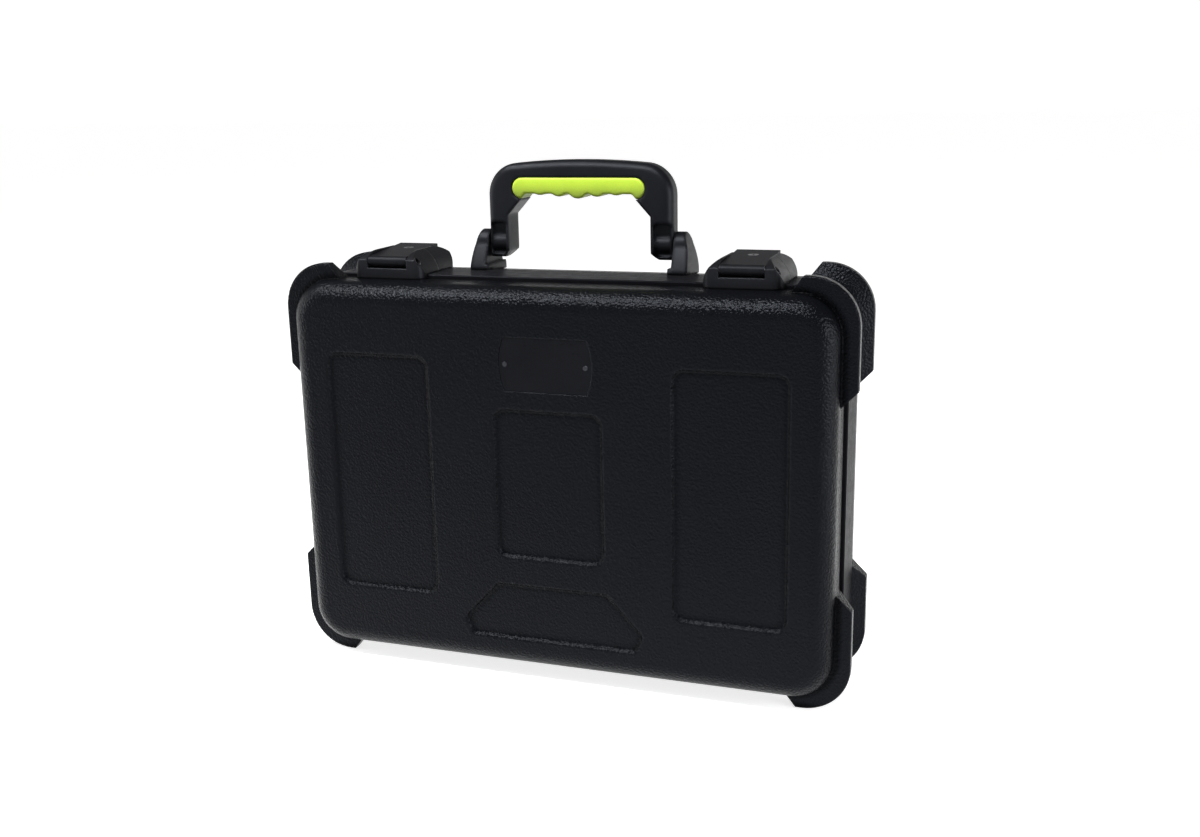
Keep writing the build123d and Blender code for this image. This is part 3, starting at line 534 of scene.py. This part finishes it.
def loose_boxes(node):
    """Lowest and highest corners of the separate bodies in a node, found by walking its mesh."""
    work = joined(node)
    unseen = set(work.verts)
    boxes = []
    while unseen:
        front = [unseen.pop()]
        island = list(front)
        while front:
            here = front.pop()
            for edge in here.link_edges:
                other = edge.other_vert(here)
                if other in unseen:
                    unseen.remove(other)
                    front.append(other)
                    island.append(other)
        low = Vector([min(corner.co[axis] for corner in island) for axis in range(3)])
        high = Vector([max(corner.co[axis] for corner in island) for axis in range(3)])
        boxes.append((low, high))
    work.free()
    return boxes


def turned(work, profile, matrix):
    """Add a turned form to a bmesh: profile has (radius, height) points from one pole to the other."""
    rings = []
    for radius, height in profile:
        if radius == 0:
            rings.append([work.verts.new(matrix @ Vector((0, 0, height)))])
            continue
        ring = []
        for step in range(turning_steps):
            angle = 2 * pi * step / turning_steps
            corner = Vector((radius * cos(angle), radius * sin(angle), height))
            ring.append(work.verts.new(matrix @ corner))
        rings.append(ring)
    for lower, upper in zip(rings, rings[1:]):
        for step in range(turning_steps):
            after = (step + 1) % turning_steps
            if len(lower) == 1:
                work.faces.new((lower[0], upper[after], upper[step]))
            elif len(upper) == 1:
                work.faces.new((lower[step], lower[after], upper[0]))
            else:
                work.faces.new((lower[step], lower[after], upper[after], upper[step]))


# ---------------------------------------------------------------- rivets
def rivet_profile(head_radius, head_height, shank_radius, length):
    """A blind rivet from the top of its head down: dimple, dome, rim, shank."""
    dimple_level = -dimple_depth * head_height
    points = [(0.0, dimple_level), (dimple_floor * head_radius, dimple_level)]
    points.append((dimple_rim * head_radius, 0.0))
    for step in range(1, dome_steps + 1):
        turn = step / dome_steps * pi / 2
        outwards = dimple_rim + (1 - dimple_rim) * sin(turn)
        points.append((head_radius * outwards, -head_height * dome_height * (1 - cos(turn))))
    points.append((head_radius, -head_height))
    points.append((shank_radius, -head_height))
    points.append((shank_radius, -length))
    points.append((0.0, -length))
    return points


def rivet_group(node, body, axis, shank_share, head_height):
    """Replace plain rivets along Y or Z, with their heads at the low end, by domed ones."""
    outwards = Vector([0.0, 0.0, 0.0])
    outwards[axis] = -1.0
    turn = outwards.to_track_quat("Z", "X").to_matrix().to_4x4()
    work = bmesh.new()
    for low, high in loose_boxes(node):
        head_end = (low + high) / 2
        head_end[axis] = low[axis]
        radius = (high.x - low.x) / 2
        profile = rivet_profile(radius, head_height, radius * shank_share, high[axis] - low[axis])
        turned(work, reversed(profile), Matrix.Translation(head_end) @ turn)
    bmesh.ops.recalc_face_normals(work, faces=work.faces)
    mesh = new_mesh(node + "_domed", work)
    shade_smooth(mesh, sharp_turn)
    keep(new_object(node + "_domed", mesh), "rivet_metal", body, node)


def rivets():
    """All rivets of the case, in groups."""
    rivet_group("name_plate_rivets", "lid", along_y, plate_rivet_shank, plate_rivet_head)
    upright_groups = (
        ("lid_latch_rivets", "lid"),
        ("base_latch_rivets", "base"),
        ("handle_bracket_rivets", "base"),
        ("lid_hinge_rivets", "lid"),
        ("base_hinge_rivets", "base"),
    )
    for node, body in upright_groups:
        rivet_group(node, body, along_z, upright_rivet_shank, upright_rivet_head)


# ---------------------------------------------------------------- soft pieces
def even_copy(name, node, voxel, rounds):
    """A new piece over a node's outer form: even quads, with the edges relaxed round."""
    piece = new_object(name, new_mesh(name, joined(node)))
    remesh = piece.modifiers.new("even", "REMESH")
    remesh.mode = "VOXEL"
    remesh.voxel_size = voxel
    relax = piece.modifiers.new("relax", "SMOOTH")
    relax.factor = 0.5
    relax.iterations = rounds
    bpy.context.view_layer.update()
    even = bpy.data.meshes.new_from_object(piece.evaluated_get(bpy.context.evaluated_depsgraph_get()))
    piece.modifiers.clear()
    piece.data = even
    shade_smooth(even, sharp_above=pi)
    return piece


def keep_inside(vertex, low, high):
    """Move a vertex that is outside the box between low and high back onto it."""
    for axis in range(3):
        vertex.co[axis] = min(max(vertex.co[axis], low[axis]), high[axis])


def roughen(piece, low, high, amount):
    """Uneven foam skin, kept inside the box between low and high."""
    normals = [vertex.normal.copy() for vertex in piece.data.vertices]
    for vertex, normal in zip(piece.data.vertices, normals):
        push = amount * noise.noise(vertex.co / foam_lump)
        vertex.co += normal * (push - amount)
        keep_inside(vertex, low, high)


def fade(distance, width):
    """0 at no distance, 1 from the given width on, smooth between."""
    share = min(max(distance / width, 0.0), 1.0)
    return share * share * (3 - 2 * share)


def lid_pad():
    """Wave-cut foam in the lid: crests in a chequered pattern, flat along its rim."""
    low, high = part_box("lid_foam")
    pad = even_copy("lid_foam_pad", "lid_foam", foam_voxel, foam_rounds)
    middle = (low + high) / 2
    for vertex in pad.data.vertices:
        depth = high.y - vertex.co.y
        if depth > crate_reach:
            continue
        rim = min(vertex.co.x - low.x, high.x - vertex.co.x, vertex.co.z - low.z, high.z - vertex.co.z)
        wave_x = cos(2 * pi * (vertex.co.x - middle.x) / crate_pitch)
        wave_z = cos(2 * pi * (vertex.co.z - middle.z) / crate_pitch)
        trough = 0.5 - 0.5 * wave_x * wave_z
        near_face = 1 - fade(depth, crate_reach)
        vertex.co.y -= crate_depth * trough * fade(rim - crate_border, crate_rim) * near_face
    roughen(pad, low, high, amount=0.25 * mm)
    keep(pad, "foam", "lid", "lid_foam")


def base_pad():
    """The plain floor pad of the base."""
    low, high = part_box("base_foam_floor")
    pad = even_copy("base_foam_floor_pad", "base_foam_floor", foam_voxel, foam_rounds)
    roughen(pad, low, high, amount=0.2 * mm)
    keep(pad, "foam", "base", "base_foam_floor")


def slotted_insert():
    """The insert of the base: a row of microphone slots over a wide tray, with soft rims."""
    low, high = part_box("base_foam_insert")
    insert = even_copy("base_foam_insert_pad", "base_foam_insert", foam_voxel, foam_rounds)
    roughen(insert, low, high, amount=0.25 * mm)
    keep(insert, "foam", "base", "base_foam_insert")


def grip():
    """The soft grip, with its finger waves and edges relaxed round."""
    rubber = even_copy("handle_grip_soft", "handle_grip", grip_voxel, grip_rounds)
    for vertex in rubber.data.vertices:
        keep_inside(vertex, grip_low, grip_high)
    keep(rubber, "grip_rubber", "handle", "handle_grip")


# ---------------------------------------------------------------- stage, light and camera
def floor():
    """The floor, just below the bumpers."""
    work = bmesh.new()
    corners = ((-1, -1), (1, -1), (1, 1), (-1, 1))
    work.faces.new([work.verts.new((floor_half * x, floor_half * y, 0)) for x, y in corners])
    mesh = new_mesh("floor", work)
    mesh.materials.append(pale_floor("pale_floor"))
    ground = new_object("floor", mesh)
    ground.location.z = -floor_drop


def softbox(name, place, aim, size, power):
    """A rectangular area light at place that faces aim."""
    light = bpy.data.lights.new(name, "AREA")
    light.shape = "RECTANGLE"
    light.size, light.size_y = size
    light.energy = power
    lamp = new_object(name, light)
    lamp.location = place
    lamp.rotation_euler = (Vector(aim) - Vector(place)).to_track_quat("-Z", "Y").to_euler()


def sky():
    """A pale room: bright near the horizon, dim overhead."""
    world = bpy.data.worlds.new("pale_room")
    world.use_nodes = True
    wiring = Wiring(world.node_tree)
    direction = wiring.nodes.new("ShaderNodeTexCoord").outputs["Generated"]
    level = wiring.smooth_range(wiring.share(direction, "Z"), room_change, (room_low, room_high))
    background = wiring.nodes["Background"]
    background.inputs["Color"].default_value = (1.0, 1.0, 1.0, 1.0)
    wiring.join(level, background.inputs["Strength"])
    bpy.context.scene.world = world


def lights():
    """The room and the area lights: the narrow strips make the grain and the recesses' edges glint."""
    sky()
    softbox("top_box", place=(-0.35, -0.7, 1.7), aim=(-0.35, 0.0, 0.0), size=(1.8, 0.8), power=9.0)
    softbox("top_strip", place=(-0.3, -0.85, 1.6), aim=(-0.3, 0.0, 0.0), size=(1.5, 0.16), power=37.0)
    softbox("recess_strip", place=(-0.95, -0.3, 1.72), aim=(-0.95, 0.0, 0.0), size=(0.8, 0.15), power=17.0)
    softbox("right_box", place=(1.4, -0.4, 0.45), aim=case_middle, size=(0.9, 0.7), power=14.0)
    softbox("left_box", place=(-1.6, -0.35, 0.6), aim=case_middle, size=(0.4, 0.9), power=6.0)


def camera():
    """The photo's viewpoint."""
    ahead = cos(camera_pitch)
    sight = Vector((-sin(camera_yaw) * ahead, cos(camera_yaw) * ahead, -sin(camera_pitch)))
    right = Vector((cos(camera_yaw), sin(camera_yaw), 0))
    up = right.cross(sight)
    rolled_right = cos(camera_roll) * right + sin(camera_roll) * up
    rolled_up = -sin(camera_roll) * right + cos(camera_roll) * up
    turn = Matrix((rolled_right, rolled_up, -sight)).transposed().to_4x4()
    data = bpy.data.cameras.new("camera")
    data.lens = camera_lens
    data.sensor_width = camera_sensor
    eye = new_object("camera", data)
    eye.matrix_world = Matrix.Translation(camera_place) @ turn
    bpy.context.scene.camera = eye


# ---------------------------------------------------------------- the scene
bpy.context.scene.view_settings.view_transform = "Standard"
dress_frame()
rivets()
lid_pad()
base_pad()
slotted_insert()
grip()
floor()
lights()
camera()
